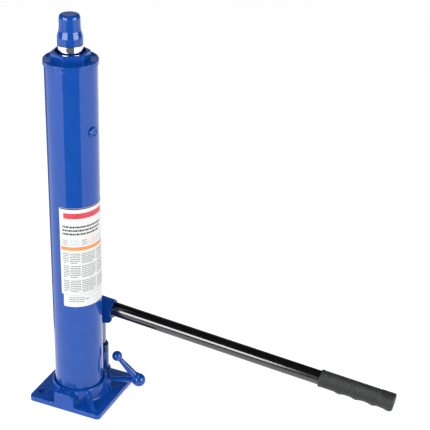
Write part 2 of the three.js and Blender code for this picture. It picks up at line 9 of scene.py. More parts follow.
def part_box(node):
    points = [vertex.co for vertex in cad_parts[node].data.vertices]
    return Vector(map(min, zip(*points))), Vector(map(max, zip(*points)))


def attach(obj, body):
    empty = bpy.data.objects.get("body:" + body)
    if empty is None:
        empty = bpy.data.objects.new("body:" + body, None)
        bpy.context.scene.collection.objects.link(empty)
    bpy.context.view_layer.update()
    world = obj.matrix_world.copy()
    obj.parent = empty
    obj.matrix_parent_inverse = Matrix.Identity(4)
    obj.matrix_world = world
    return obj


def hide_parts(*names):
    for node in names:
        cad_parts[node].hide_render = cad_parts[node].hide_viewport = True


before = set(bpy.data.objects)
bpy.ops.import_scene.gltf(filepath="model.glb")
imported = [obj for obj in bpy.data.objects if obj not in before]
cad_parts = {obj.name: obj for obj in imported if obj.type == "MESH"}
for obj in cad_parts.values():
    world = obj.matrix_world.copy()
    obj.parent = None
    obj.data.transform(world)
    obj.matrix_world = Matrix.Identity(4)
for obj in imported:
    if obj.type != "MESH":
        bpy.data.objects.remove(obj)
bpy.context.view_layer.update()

SCENE = bpy.context.scene
MM = 0.001  # sections and outlines below are in millimetres, in the frame's own axes


def extent(node):
    """Lowest and highest corner of a CAD node in millimetres."""
    low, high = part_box(node)
    return low / MM, high / MM


# ---------------------------------------------------------------- places and sizes
TUBE_LOW, TUBE_HIGH = extent("reservoir_tube")
TUBE_RADIUS = (TUBE_HIGH.x - TUBE_LOW.x) / 2
TUBE_WALL = 3
NUT_LOW, NUT_HIGH = extent("tank_nut")
HEAD_LOW, HEAD_HIGH = extent("ram_head")
ROD_LOW, ROD_HIGH = extent("ram_rod")
BARREL_TOP = extent("pump_cylinder")[1].z
GLAND_LOW, GLAND_HIGH = extent("pump_gland_nut")

PLATE_X, PLATE_Y = 0.5, 8  # middle of the square plate
PLATE_HALF = 60
PLATE_TOP = 8.8
PLATE_CORNER = 7
BOSS_TOP = extent("base_casting")[1].z
BOLT_HOLES = ((-47.5, -33.5), (48.5, 49.5))
BOLT_RADIUS = 5
WEBS = ((-42, 67.5), (21, 50))  # heading in degrees and reach of each
NUT_RADIUS = 37.8
HEXAGON_CORNER = 27.71
HEXAGON_TURN = 37  # heading of the first corner in degrees
HEXAGON_RISE = 10.7
BUSH_TOP = 541.6
WIPER_FLOOR = 548.9
WIPER_RECESS = 20.9
RAM_RADIUS = 17.4
PUMP_X, PUMP_Y = 8, 53
PUMP_BOSS = ((PUMP_X, PUMP_Y, 15), (16, 50, 11))
PUMP_BOSS_TOP = 18
PUMP = Matrix.Translation((PUMP_X, PUMP_Y, 0)) @ Matrix.Rotation(radians(3.6), 4, "Z")
BARREL_RADIUS = 13
HANDLE_HEIGHT = 132.4
HANDLE_SLOPE = radians(7)
HANDLE = PUMP @ Matrix.Translation((0, 0, HANDLE_HEIGHT)) @ Matrix.Rotation(HANDLE_SLOPE, 4, "Y")
ALONG_X = Matrix.Rotation(radians(90), 4, "Y")  # turns a lathe's axis from Z to X
ALONG_Y = Matrix.Rotation(radians(-90), 4, "X")
VALVE = Matrix.Translation((79.2, 44.1, 19)) @ Matrix.Rotation(radians(24), 4, "Z")
KNOB = Vector((-32.9, 0, 43.7))  # end ball of the release lever, from its hub
FULCRUM = Vector((-23.49, 0, 121.55))
EYE = Vector((0, 0, 113))
PIN_RADIUS = 3.5
CHEEK_INNER, CHEEK_OUTER = 5.9, 10.4  # the socket's two cheeks, from the pump's middle plane
SOCKET_RADIUS, SOCKET_BORE = 14, 11.3
SOCKET_BACK, SOCKET_FRONT = -13, 24  # along the handle, from the pump's axis
PIN_SEAT, PIN_END = 10.7, 12.9  # from the pump's middle plane
PLUNGER_RADIUS, PLUNGER_HEAD, PLUNGER_TOP = 5.9, 9.1, 120.5
TONGUE = 5.5  # half the thickness of the plunger's eye
EYE_RADIUS, SLOT_RADIUS, SLOT_PLAY = 7.5, 3.85, 1.5
BRACKET_FOOT_TOP = 16
SCREW_BORE, SCREW_HEAD_BORE = 2.7, 4.4
SPINDLE_RADIUS = 4.6
CHECK_VALVES = {"suction": (-7.5, 28.2), "discharge": (4, 26.7), "relief": (18, -26)}
BRACKET_SCREWS = ((-35.9, 2), (-22, 9.8))
FILLER = Matrix.Rotation(radians(-12), 4, "Z") @ Matrix.Translation((0, 0, 447.5)) @ ALONG_X
GRIP_START, GRIP_END = 354.5, 467.5
TUBE_START, TUBE_END = -9, 463  # the two ends of the handle's tube
GRIP_RADIUS, GRIP_BORE = 13.3, 11.2
RIBS_FROM, RIBS_TO = GRIP_START + 3, GRIP_END - 20
RIB_PITCH, RIB_DEPTH, RIB_RINGS = 2.2, 0.75, 420
SWELL_DEPTH = 2.1
HANDLE_RADIUS, HANDLE_WALL = 10.9, 1.8


# ---------------------------------------------------------------- mesh code
def moved(shell, matrix):
    points, faces = shell
    return [matrix @ Vector(p) for p in points], faces


def joined(*shells):
    points, faces = [], []
    for more_points, more_faces in shells:
        first = len(points)
        points += more_points
        faces += [[first + i for i in face] for face in more_faces]
    return points, faces


def rounded(section, fillet, closed, steps):
    """The section with each corner turned into an arc."""
    out = []
    for i, corner in enumerate(section):
        here = Vector(corner[:2])
        radius = corner[2] if len(corner) > 2 else fillet
        if radius <= 0 or (not closed and i in (0, len(section) - 1)):
            out.append(here)
            continue
        back = Vector(section[i - 1][:2]) - here
        ahead = Vector(section[(i + 1) % len(section)][:2]) - here
        half = back.angle(ahead) / 2
        if half > radians(86):  # nearly straight, so there is nothing to round
            out.append(here)
            continue
        room = min(back.length, ahead.length) * 0.48
        reach = min(radius / math.tan(half), room)
        centre = here + (back.normalized() + ahead.normalized()).normalized() * (reach / math.cos(half))
        start = here + back.normalized() * reach - centre
        end = here + ahead.normalized() * reach - centre
        turn = start.angle(end)
        for k in range(steps + 1):
            t = k / steps
            weights = math.sin((1 - t) * turn) / math.sin(turn), math.sin(t * turn) / math.sin(turn)
            out.append(centre + start * weights[0] + end * weights[1])
    return out


def lathe(section, fillet=0.4, segments=96, steps=4):
    """Turned about Z from (radius, height) points, counterclockwise round the section."""
    closed = section[0][0] > 0 or section[-1][0] > 0
    points, rings, faces = [], [], []
    for radius, height in rounded(section, fillet, closed, steps):
        first = len(points)
        if radius < 1e-6:
            points.append(Vector((0, 0, height)))
            rings.append([first] * segments)
        else:
            rings.append(list(range(first, first + segments)))
            for k in range(segments):
                angle = 2 * math.pi * k / segments
                points.append(Vector((radius * math.cos(angle), radius * math.sin(angle), height)))
    for lower, upper in zip(rings, rings[1:] + (rings[:1] if closed else [])):
        for i in range(segments):
            j = (i + 1) % segments
            face = list(dict.fromkeys([lower[i], lower[j], upper[j], upper[i]]))
            if len(face) > 2:
                faces.append(face)
    return points, faces


def ring(inner, outer, low, high, fillet=0.3, segments=64):
    return lathe([(inner, low), (outer, low), (outer, high), (inner, high)], fillet, segments)


def between(start, end, radius, end_radius=None, segments=40):
    """A round bar or a cone from one point to another."""
    along = Vector(end) - Vector(start)
    far = radius if end_radius is None else end_radius
    shell = lathe([(0, 0), (radius, 0), (far, along.length), (0, along.length)], 0, segments)
    turn = Vector((0, 0, 1)).rotation_difference(along.normalized()).to_matrix().to_4x4()
    return moved(shell, Matrix.Translation(start) @ turn)


def ball(centre, radius, segments=48):
    half = segments // 2
    angles = [math.pi * k / half for k in range(half + 1)]
    arc = [(radius * math.sin(angle), -radius * math.cos(angle)) for angle in angles]
    arc[0], arc[-1] = (0, -radius), (0, radius)
    return moved(lathe(arc, 0, segments), Matrix.Translation(centre))


def band(circles, steps=48):
    """A tight band round circles given as (x, y, radius), counterclockwise."""
    angles = [2 * math.pi * k / steps for k in range(steps)]
    points = [
        Vector((x + radius * math.cos(angle), y + radius * math.sin(angle)))
        for x, y, radius in circles
        for angle in angles
    ]
    hull = [points[i] for i in geometry.convex_hull_2d(points)]
    area = sum(a.x * b.y - b.x * a.y for a, b in zip(hull, hull[1:] + hull[:1]))
    return hull if area > 0 else hull[::-1]


def flat(outline, low, high):
    """An outline in X and Y, raised from low to high."""
    count = len(outline)
    points = [Vector((x, y, z)) for z in (low, high) for x, y in outline]
    faces = [list(range(count))[::-1], list(range(count, 2 * count))]
    for i in range(count):
        j = (i + 1) % count
        faces.append([i, j, count + j, count + i])
    return points, faces


def upright(outline, low, high):
    """An outline in X and Z, thickened along Y from low to high."""
    stand = Matrix(((1, 0, 0, 0), (0, 0, -1, 0), (0, 1, 0, 0), (0, 0, 0, 1)))
    return moved(flat(outline, -high, -low), stand)


def mesh_of(name, shell):
    mesh = bpy.data.meshes.new(name)
    mesh.from_pydata([tuple(p) for p in shell[0]], [], shell[1])
    mesh.update()
    return mesh


def evaluated(obj):
    """obj's mesh with its modifiers applied; obj is removed."""
    bpy.context.view_layer.update()
    graph = bpy.context.evaluated_depsgraph_get()
    mesh = bpy.data.meshes.new_from_object(obj.evaluated_get(graph))
    bpy.data.objects.remove(obj)
    return mesh


def linked(data):
    obj = bpy.data.objects.new(data.name, data)
    SCENE.collection.objects.link(obj)
    return obj


def drilled(mesh, cutters, operation="DIFFERENCE"):
    """mesh with the cutter shells taken away, one after another, or added with operation UNION."""
    for i, cutter in enumerate(cutters):
        body = linked(mesh)
        tool = linked(mesh_of(f"cutter_{i}", cutter))
        modifier = body.modifiers.new("cut", "BOOLEAN")
        modifier.operation = operation
        modifier.solver = "MANIFOLD"
        modifier.object = tool
        mesh = evaluated(body)
        bpy.data.objects.remove(tool)
    return mesh


def roughened(mesh, depth, size):
    """Moves the skin by about depth, mostly inward, in lumps about size across, as sand moulds leave it."""
    places = [vertex.co.copy() for vertex in mesh.vertices]
    normals = [vertex.normal.copy() for vertex in mesh.vertices]
    moved_to = []
    for place, normal in zip(places, normals):
        lumps = noise.noise(place / size) + 0.5 * noise.noise(place / size * 2.3)
        moved_to.extend(place + normal * (depth * (lumps - 0.6)))
    mesh.vertices.foreach_set("co", moved_to)
    mesh.update()
    return mesh


def fused(name, shells, voxel, soft):
    """Overlapping shells melted into one skin with rounded edges and fillets, as a casting has."""
    obj = linked(mesh_of(name, joined(*shells)))
    remesh = obj.modifiers.new("skin", "REMESH")
    remesh.mode = "VOXEL"
    remesh.voxel_size = voxel
    smooth = obj.modifiers.new("soft", "SMOOTH")
    smooth.factor = 0.5
    smooth.iterations = soft
    return evaluated(obj)


def piece(name, source, material, body, nodes=(), place=None, crease=32):
    """A finished piece: source is a shell or a mesh in millimetres, set in place and put on its body."""
    mesh = source if isinstance(source, bpy.types.Mesh) else mesh_of(name, source)
    mesh.name = name
    mesh.transform(Matrix.Scale(MM, 4) @ (place or Matrix.Identity(4)))
    mesh.materials.clear()
    mesh.materials.append(material)
    mesh.shade_smooth()
    mesh.set_sharp_from_angle(angle=radians(crease))
    obj = bpy.data.objects.new(name, mesh)
    SCENE.collection.objects.link(obj)
    normals = obj.modifiers.new("normals", "WEIGHTED_NORMAL")
    normals.keep_sharp = True
    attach(obj, body)
    if nodes:
        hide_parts(*nodes)
    return obj


# ---------------------------------------------------------------- materials
class Nodes:
    """A short way to write a material's nodes."""

    def __init__(self, name, **values):
        self.material = bpy.data.materials.new(name)
        self.material.use_nodes = True
        self.tree = self.material.node_tree
        self.shader = self.tree.nodes["Principled BSDF"]
        for socket, value in values.items():
            self.shader.inputs[socket.replace("_", " ")].default_value = value
        self.place = self.tree.nodes.new("ShaderNodeTexCoord").outputs["Object"]

    def add(self, kind, links=None, **settings):
        node = self.tree.nodes.new("ShaderNode" + kind)
        for key, value in settings.items():
            if hasattr(node, key):
                setattr(node, key, value)
            else:
                node.inputs[key].default_value = value
        for key, output in (links or {}).items():
            self.tree.links.new(output, node.inputs[key])
        return node

    def noise(self, scale, detail=3.0, roughness=0.5, stretch=None):
        place = self.place
        if stretch:
            mapping = self.add("Mapping", {"Vector": place})
            mapping.inputs["Scale"].default_value = stretch
            place = mapping.outputs["Vector"]
        texture = self.add("TexNoise", {"Vector": place}, Scale=scale, Detail=detail, Roughness=roughness)
        return texture.outputs["Fac"]

    def spread(self, value, low, high):
        """A noise value spread over low to high."""
        node = self.add("MapRange", {"Value": value})
        for key, number in (("From Min", 0.3), ("From Max", 0.7), ("To Min", low), ("To Max", high)):
            node.inputs[key].default_value = number
        return node.outputs["Result"]

    def tint(self, value, first, second):
        ramp = self.add("ValToRGB", {"Fac": value})
        ends = ramp.color_ramp.elements
        ends[0].position, ends[1].position = 0.3, 0.7
        ends[0].color, ends[1].color = (*first, 1), (*second, 1)
        return ramp.outputs["Color"]

    def colour(self, value, first, second):
        self.tree.links.new(self.tint(value, first, second), self.shader.inputs["Base Color"])

    def gloss(self, value, low, high):
        self.tree.links.new(self.spread(value, low, high), self.shader.inputs["Roughness"])

    def bump(self, *layers):
        """Bump from (value, depth in metres) layers, finest last."""
        normal = None
        for value, depth in layers:
            links = {"Height": value}
            if normal:
                links["Normal"] = normal
            node = self.add("Bump", links)
            node.inputs["Distance"].default_value = depth
            node.inputs["Strength"].default_value = 1
            normal = node.outputs["Normal"]
        self.tree.links.new(normal, self.shader.inputs["Normal"])


def enamel(name, first, second, orange_peel, coat=1.0, cast=0.0, index=1.45, haze=0.05):
    """Thick gloss paint; cast is the depth of the sand-cast skin under it, haze how soft the gloss is."""
    nodes = Nodes(name, Coat_Weight=coat, Coat_Roughness=haze, Coat_IOR=index)
    nodes.shader.inputs["Specular IOR Level"].default_value = 0.02
    nodes.colour(nodes.noise(38, 4), first, second)
    nodes.gloss(nodes.noise(90, 3), 0.3, 0.42)
    layers = [(nodes.noise(420, 2), orange_peel)]
    if cast:
        layers = [(nodes.noise(330, 5, 0.62), cast), (nodes.noise(1100, 3), cast * 0.25)] + layers
    nodes.bump(*layers)
    return nodes.material


def metal(name, first, second, low, high, lines, depth):
    """Bare metal with fine tool marks; lines is the stretch of the marks along each axis."""
    nodes = Nodes(name, Metallic=1.0)
    nodes.colour(nodes.noise(60, 4), first, second)
    nodes.gloss(nodes.noise(240, 3), low, high)
    nodes.bump((nodes.noise(900, 3, 0.6, lines), depth))
    return nodes.material


def rubber(name, first, second, low, high, depth, shine=0.35):
    nodes = Nodes(name)
    nodes.shader.inputs["Specular IOR Level"].default_value = shine
    nodes.colour(nodes.noise(120, 5, 0.6), first, second)
    nodes.gloss(nodes.noise(300, 3), low, high)
    nodes.bump((nodes.noise(1500, 4, 0.65), depth))
    return nodes.material


def printed(name, first, second, low=0.34, high=0.48):
    """Ink or film: nearly even colour with the faint mottle of a laminated label."""
    nodes = Nodes(name)
    nodes.colour(nodes.noise(150, 3), first, second)
    nodes.gloss(nodes.noise(80, 2), low, high)
    nodes.bump((nodes.noise(260, 2), 0.00002))
    return nodes.material


BLUE_DARK, BLUE_LIGHT = (0.003, 0.063, 0.345), (0.005, 0.073, 0.39)
BLUE = enamel("blue_enamel", BLUE_DARK, BLUE_LIGHT, 0.000012)
CAST_BLUE = enamel("cast_blue_enamel", BLUE_DARK, BLUE_LIGHT, 0.00001, 0.8, 0.00009)
BLACK_DARK, BLACK_LIGHT = (0.004, 0.004, 0.0045), (0.007, 0.007, 0.008)
BLACK = enamel("black_enamel", BLACK_DARK, BLACK_LIGHT, 0.000008, index=1.85, haze=0.13)
# Darker blue enamel for the pump's gland nut: painted shade, standing in for the shadow the handle socket
# casts on it.
GLAND_SHADE_BLUE = enamel("gland_shade_enamel", (0.004, 0.026, 0.13), (0.006, 0.032, 0.16), 0.00001)
CHROME = metal("polished_chrome", (0.78, 0.78, 0.76), (0.86, 0.86, 0.85), 0.05, 0.12, (1, 1, 6), 0.000004)
# Steel with a blue-grey tone in its colour, used on the pump plunger and the roll pin.
BLUE_GREY_METAL = metal("blue_grey_steel", (0.15, 0.18, 0.28), (0.2, 0.24, 0.35), 0.26, 0.4, (1, 1, 5), 0.00002)
STEEL = metal("oiled_steel", (0.36, 0.37, 0.4), (0.5, 0.51, 0.54), 0.24, 0.4, (1, 1, 5), 0.00002)
IRON = metal("turned_iron", (0.15, 0.16, 0.17), (0.24, 0.25, 0.26), 0.4, 0.6, (1, 1, 5), 0.00004)
BRASS = metal("turned_brass", (0.52, 0.39, 0.17), (0.68, 0.53, 0.26), 0.22, 0.38, (1, 1, 5), 0.00002)
GRIP = rubber("grip_rubber", (0.017, 0.019, 0.018), (0.027, 0.03, 0.029), 0.45, 0.58, 0.00005, 0.45)
SEAL = rubber("seal_rubber", (0.008, 0.008, 0.008), (0.018, 0.018, 0.018), 0.35, 0.5, 0.00002)
FILM = printed("label_film", (0.74, 0.75, 0.74), (0.79, 0.8, 0.79))
INK_BLACK = printed("ink_black", (0.02, 0.02, 0.022), (0.035, 0.035, 0.038))
INK_RED = printed("ink_red", (0.66, 0.035, 0.06), (0.74, 0.05, 0.08))
INK_ORANGE = printed("ink_orange", (0.84, 0.27, 0.05), (0.9, 0.33, 0.08))
INK_GREY = printed("ink_grey", (0.1, 0.1, 0.12), (0.17, 0.17, 0.19))
INK_BLUE = printed("ink_pale_blue", (0.38, 0.47, 0.62), (0.46, 0.54, 0.68))
INK_PINK = printed("ink_pink", (0.72, 0.36, 0.34), (0.8, 0.46, 0.44))

CAD_FINISH = {
    "ball": STEEL, "spring": STEEL, "plug": STEEL, "gasket": BRASS, "bush": BRASS, "strainer": BRASS,
    "cylinder": STEEL, "piston": IRON, "cup": SEAL, "nut": STEEL, "seal": SEAL, "ring": SEAL,
    "pin": STEEL, "screw": STEEL,
}
for node_name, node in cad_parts.items():
    name_words = reversed(node_name.split("_"))
    finish = next((CAD_FINISH[word] for word in name_words if word in CAD_FINISH), STEEL)
    node.data.materials.clear()
    node.data.materials.append(finish)


# ---------------------------------------------------------------- base casting
def base_casting():
    half = PLATE_HALF - PLATE_CORNER
    quarters = ((-1, -1), (1, -1), (1, 1), (-1, 1))
    corners = [(PLATE_X + a * half, PLATE_Y + b * half, PLATE_CORNER) for a, b in quarters]
    front = PLATE_Y - PLATE_HALF
    boss = lathe([
        (0, 0), (44.5, 0), (44.5, 9.4), (42.3, 11.4), (40.3, 29.9), (39.4, BOSS_TOP), (0, BOSS_TOP),
    ], 0)
    pad = upright([
        (-16.5, 4), (17.5, 4), (17.5, 24.5), (12.5, 29.5), (-12.5, 29.5), (-15.5, 26),
    ], front, front + 20)
    shells = [flat(band(corners), 0, PLATE_TOP), boss, pad]
    for heading, reach in WEBS:
        web = upright([(35, 4), (reach, 4), (reach, 9.6), (41, 28.5), (35, 28.5)], -2.5, 2.5)
        shells.append(moved(web, Matrix.Rotation(radians(heading), 4, "Z")))
    shells.append(flat(band(PUMP_BOSS), 0, PUMP_BOSS_TOP))
    shells.append(moved(between((-60, 0, 0), (-42, 0, 0), 8.6), VALVE))
    mesh = roughened(fused("base", shells, 0.9, 7), 0.09, 5)
    tube_pocket = lathe([
        (0, 26), (25.6, 26), (25.6, 25.5), (37.2, 25.5), (37.2, 29.6),
        (37.8, BOSS_TOP + 1), (0, BOSS_TOP + 1),
    ], 0)
    pump_pocket = lathe([
        (0, 8), (10.3, 8), (10.3, PUMP_BOSS_TOP), (13.5, PUMP_BOSS_TOP), (13.5, 32), (0, 32),
    ], 0)
    bolt_hole = lathe([
        (0, -1), (BOLT_RADIUS, -1), (BOLT_RADIUS, PLATE_TOP - 0.5),
        (BOLT_RADIUS + 1, PLATE_TOP + 0.5), (0, PLATE_TOP + 0.5),
    ], 0)
    cutters = [tube_pocket, moved(pump_pocket, Matrix.Translation((PUMP_X, PUMP_Y, 0)))]
    for x, y in BOLT_HOLES:
        cutters.append(moved(bolt_hole, Matrix.Translation((x, y, 0))))
    for x, y in CHECK_VALVES.values():
        cutters.append(between((x, y, -1), (x, y, 13), 4.2))
    for x, y in BRACKET_SCREWS:
        cutters.append(moved(between((x, y, 2.5), (x, y, 12), SCREW_BORE), PUMP))
    cutters.append(moved(between((-64.5, 0, 0), (-30, 0, 0), SPINDLE_RADIUS + 0.3), VALVE))
    cutters.append(moved(between((-50.4, 0, 0), (-47.6, 0, 0), 6.6), VALVE))
    return drilled(mesh, cutters)


piece("base_casting_skin", base_casting(), CAST_BLUE, "root", ["base_casting"], crease=38)


# ---------------------------------------------------------------- tank
def reservoir():
    tube = ring(TUBE_RADIUS - TUBE_WALL, TUBE_RADIUS, TUBE_LOW.z, TUBE_HIGH.z, 0.8, 160)
    hole = moved(between((0, 0, 30), (0, 0, 40), 4), FILLER)
    return drilled(mesh_of("tube", tube), [hole])


piece("reservoir_shell", reservoir(), BLUE, "root", ["reservoir_tube"])


def tank_nut():
    """Slightly dished flange with a chamfered, softly painted hexagon standing on it."""
    top = NUT_HIGH.z
    flange_top = top - HEXAGON_RISE
    rim = TUBE_HIGH.z + 0.3
    flange = lathe([
        (0, NUT_LOW.z), (33, NUT_LOW.z), (33, rim), (NUT_RADIUS, rim), (NUT_RADIUS, flange_top, 1.5),
        (36, flange_top, 0.8), (30, flange_top - 1.1), (0, flange_top - 1.1),
    ], 0.5, 120)
    angles = [radians(60 * k + HEXAGON_TURN) for k in range(6)]
    outline = [(HEXAGON_CORNER * math.cos(angle), HEXAGON_CORNER * math.sin(angle)) for angle in angles]
    body = linked(mesh_of("hexagon", flat(outline, flange_top - 4, top)))
    bevel = body.modifiers.new("edges", "BEVEL")
    bevel.width = 1.3
    bevel.segments = 4
    bevel.limit_method = "ANGLE"
    chamfer = lathe([
        (24.6, top + 0.01), (29, top - 2.2), (34, top - 2.2), (34, top + 4), (24.6, top + 4),
    ], 0)
    hexagon = drilled(evaluated(body), [chamfer])
    inside = lathe([
        (0, NUT_LOW.z - 1), (22.3, NUT_LOW.z - 1), (22.3, BUSH_TOP), (RAM_RADIUS + 0.5, BUSH_TOP),
        (RAM_RADIUS + 0.5, WIPER_FLOOR), (WIPER_RECESS, WIPER_FLOOR), (WIPER_RECESS, top - 0.6),
        (21.6, top + 0.5), (0, top + 0.5),
    ], 0)
    return drilled(drilled(hexagon, [flange], "UNION"), [inside])


piece("tank_nut_cap", tank_nut(), BLUE, "root", ["tank_nut"])
WIPER_LOW, WIPER_HIGH = extent("rod_wiper")
wiper = lathe([
    (RAM_RADIUS + 0.3, WIPER_LOW.z), (20.6, WIPER_LOW.z), (20.6, WIPER_HIGH.z - 0.8),
    (19.4, WIPER_HIGH.z), (RAM_RADIUS + 0.5, WIPER_HIGH.z),
], 0.3)
piece("wiper_lip", wiper, SEAL, "root", ["rod_wiper"])

plug = lathe([
    (0, 31), (3.7, 31), (3.7, 36.6), (7.5, 36.6), (7.4, 38.2),
    (6.9, 39.4), (4.6, 39.4), (3.4, 38.4), (0, 38),
], 0.35, 72)
piece("filler_plug_head", plug, BLUE, "root", ["filler_plug"], FILLER)


# ---------------------------------------------------------------- labels
def patch(start, end, low, high, inner, outer, corner=0.0, step=2.0):
    """Part of a thin sleeve round the tube between two headings, with rounded corners."""
    arc = radians(end - start) * outer
    stops = {0.0, arc}
    if corner:
        stops |= {corner * (1 - math.cos(radians(15 * k))) for k in range(1, 7)}
        stops |= {arc - corner * (1 - math.cos(radians(15 * k))) for k in range(1, 7)}
    columns = max(2, round((arc - 2 * corner) / step))
    stops |= {corner + (arc - 2 * corner) * k / columns for k in range(columns + 1)}
    points, faces = [], []
    ordered = sorted(stops)
    ordered = [stop for i, stop in enumerate(ordered) if i == 0 or stop - ordered[i - 1] > 1e-6]
    for along in ordered:
        near = min(along, arc - along)
        inset = corner - math.sqrt(max(0.0, corner**2 - (corner - near) ** 2)) if near < corner else 0.0
        inset = min(inset, (high - low) / 2 - 0.01)
        angle = radians(start) + along / outer
        for radius in (inner, outer):
            for height in (low + inset, high - inset):
                points.append(Vector((radius * math.cos(angle), radius * math.sin(angle), height)))
    for i in range(len(ordered) - 1):
        here, after = 4 * i, 4 * i + 4
        faces += [
            [here + 2, after + 2, after + 3, here + 3], [after, here, here + 1, after + 1],
            [here, after, after + 2, here + 2], [after + 1, here + 1, here + 3, after + 3],
        ]
    last = 4 * (len(ordered) - 1)
    faces += [[0, 2, 3, 1], [last + 2, last, last + 1, last + 3]]
    return points, faces


FILM_INNER = TUBE_RADIUS + 0.03
FILM_OUTER = TUBE_RADIUS + 0.28
INK_OUTER = FILM_OUTER + 0.05
MAIN_FROM, LOWER_FROM, FILMS_TO = -97, -92, 31  # headings in degrees


def strip(start, end, low, high, corner=0.0):
    return patch(start, end, low, high, FILM_OUTER - 0.05, INK_OUTER, corner, 3.0)


def words(start, end, height, size, seed):
    """A printed row stood for by plain dashes of uneven length."""
    dashes, heading, count = [], start, seed
    while heading < end - 1:
        length = 2.2 + 3.4 * (0.5 + 0.5 * math.sin(count * 2.399 + seed))
        stop = min(heading + length, end)
        dashes.append(strip(heading, stop, height - size / 2, height + size / 2, size * 0.3))
        heading = stop + 0.9
        count += 1
    return dashes


MAIN_LOW, MAIN_HIGH = extent("main_label")
LOWER_LOW, LOWER_HIGH = extent("lower_label")
film = patch(MAIN_FROM, FILMS_TO, MAIN_LOW.z, MAIN_HIGH.z, FILM_INNER, FILM_OUTER, 2.0)
piece("main_label_film", film, FILM, "root", ["main_label"])
film = patch(LOWER_FROM, FILMS_TO, LOWER_LOW.z, LOWER_HIGH.z, FILM_INNER, FILM_OUTER, 1.2)
piece("lower_label_film", film, FILM, "root", ["lower_label"])


def prints():
    """Plain marks in the places of the printed ones, with no lettering and no symbol among them."""
    piece("label_top_rule", strip(-95.5, 30, 335.4, 337.2), INK_BLACK, "root")
    piece("label_red_bar", strip(-87, 14, 321, 329.6, 1.2), INK_RED, "root")
    piece("label_orange_band", strip(-95, 30, 270.4, 275.9), INK_ORANGE, "root")
    heading = []
    for i, z in enumerate((307.9, 302.3, 296.7)):
        heading += words(-90, 8 - 4 * i, z, 2.9, i + 1)
    piece("label_heading_rows", joined(*heading), INK_BLACK, "root")
    grey, blue, pink = [], [], []
    for i, z in enumerate((286.4, 283.2, 280)):
        grey += words(-89.5, -78, z, 1.1, 4 + i) + words(-46, -34, z, 1.1, 8 + i)
        blue += words(-72, -52, z, 1.1, 12 + i) + words(-10, 12, z, 1.1, 15 + i)
        pink += words(-32, -12, z, 1.1, 18 + i)
    for top, rows in ((265, 6), (244.8, 7), (220.6, 7)):
        for row in range(rows):
            height = top - 2.95 * row
            for column, (start, end) in enumerate(((-90, -76.5), (-74, -51), (-48, -12), (-8, 27))):
                stop = end - (6 if row == rows - 1 else 0)
                grey += words(start, stop, height, 1.15, row + 5 * column + int(top))
    for row in range(3):
        grey += words(-79, -44 + 14 * (row % 2), 192.6 - 3.3 * row, 1.2, 40 + row)
    piece("label_small_rows", joined(*grey), INK_GREY, "root")
    piece("label_blue_rows", joined(*blue), INK_BLUE, "root")
    piece("label_pink_rows", joined(*pink), INK_PINK, "root")


prints()

# ---------------------------------------------------------------- ram
SPIGOT_RADIUS = 9
PISTON_TOP = 54.3
shoulder = HEAD_LOW.z
rod = lathe([
    (0, ROD_LOW.z), (8, ROD_LOW.z), (8, PISTON_TOP), (RAM_RADIUS, PISTON_TOP, 0.8),
    (RAM_RADIUS, shoulder - 0.3, 0.3), (SPIGOT_RADIUS, shoulder - 0.3),
    (SPIGOT_RADIUS, ROD_HIGH.z), (0, ROD_HIGH.z),
], 0.4, 120)
piece("ram_bar", rod, CHROME, "ram", ["ram_rod"])
head = lathe([
    (SPIGOT_RADIUS + 0.3, shoulder), (RAM_RADIUS, shoulder, 0.5), (RAM_RADIUS, 576.2, 6),
    (16.5, 580.2, 5), (15, 585, 7), (14.5, 591, 12), (14.4, 602.6, 2.4), (13.2, 605.9, 2.2),
    (10.4, HEAD_HIGH.z, 0.8), (9.2, HEAD_HIGH.z - 0.35, 0.5), (0, HEAD_HIGH.z - 0.45),
    (0, 590.5), (SPIGOT_RADIUS + 0.3, 590.5),
], 0.5, 120, 6)
piece("ram_head_painted", head, BLUE, "ram", ["ram_head"], crease=50)

# ---------------------------------------------------------------- pump
barrel = lathe([
    (6.3, 10.8), (10, 10.8), (10, 19.6), (BARREL_RADIUS, 19.6),
    (BARREL_RADIUS, BARREL_TOP, 0.9), (6.3, BARREL_TOP),
], 0.4, 72)
piece("pump_barrel", barrel, BLUE, "root", ["pump_cylinder"], PUMP)


def gland_nut():
    low, high = GLAND_LOW.z, GLAND_HIGH.z
    nut = lathe([
        (9.3, low), (BARREL_RADIUS, low), (BARREL_RADIUS, high - 2.2, 0.8), (11, high, 0.5),
        (6.4, high), (6.4, 56.6), (9.3, 56.6),
    ], 0.3, 72)
    slots = []
    for k in range(4):
        slot = upright([(10.9, low + 3.5), (15, low + 3.5), (15, high + 2), (10.9, high + 2)], -2, 2)
        slots.append(moved(slot, Matrix.Rotation(radians(45 + 90 * k), 4, "Z")))
    return drilled(mesh_of("gland", nut), slots)


# The gland nut takes the darker blue, a painted shade from the handle socket above it.
piece("pump_gland_nut_slotted", gland_nut(), GLAND_SHADE_BLUE, "root", ["pump_gland_nut"], PUMP)


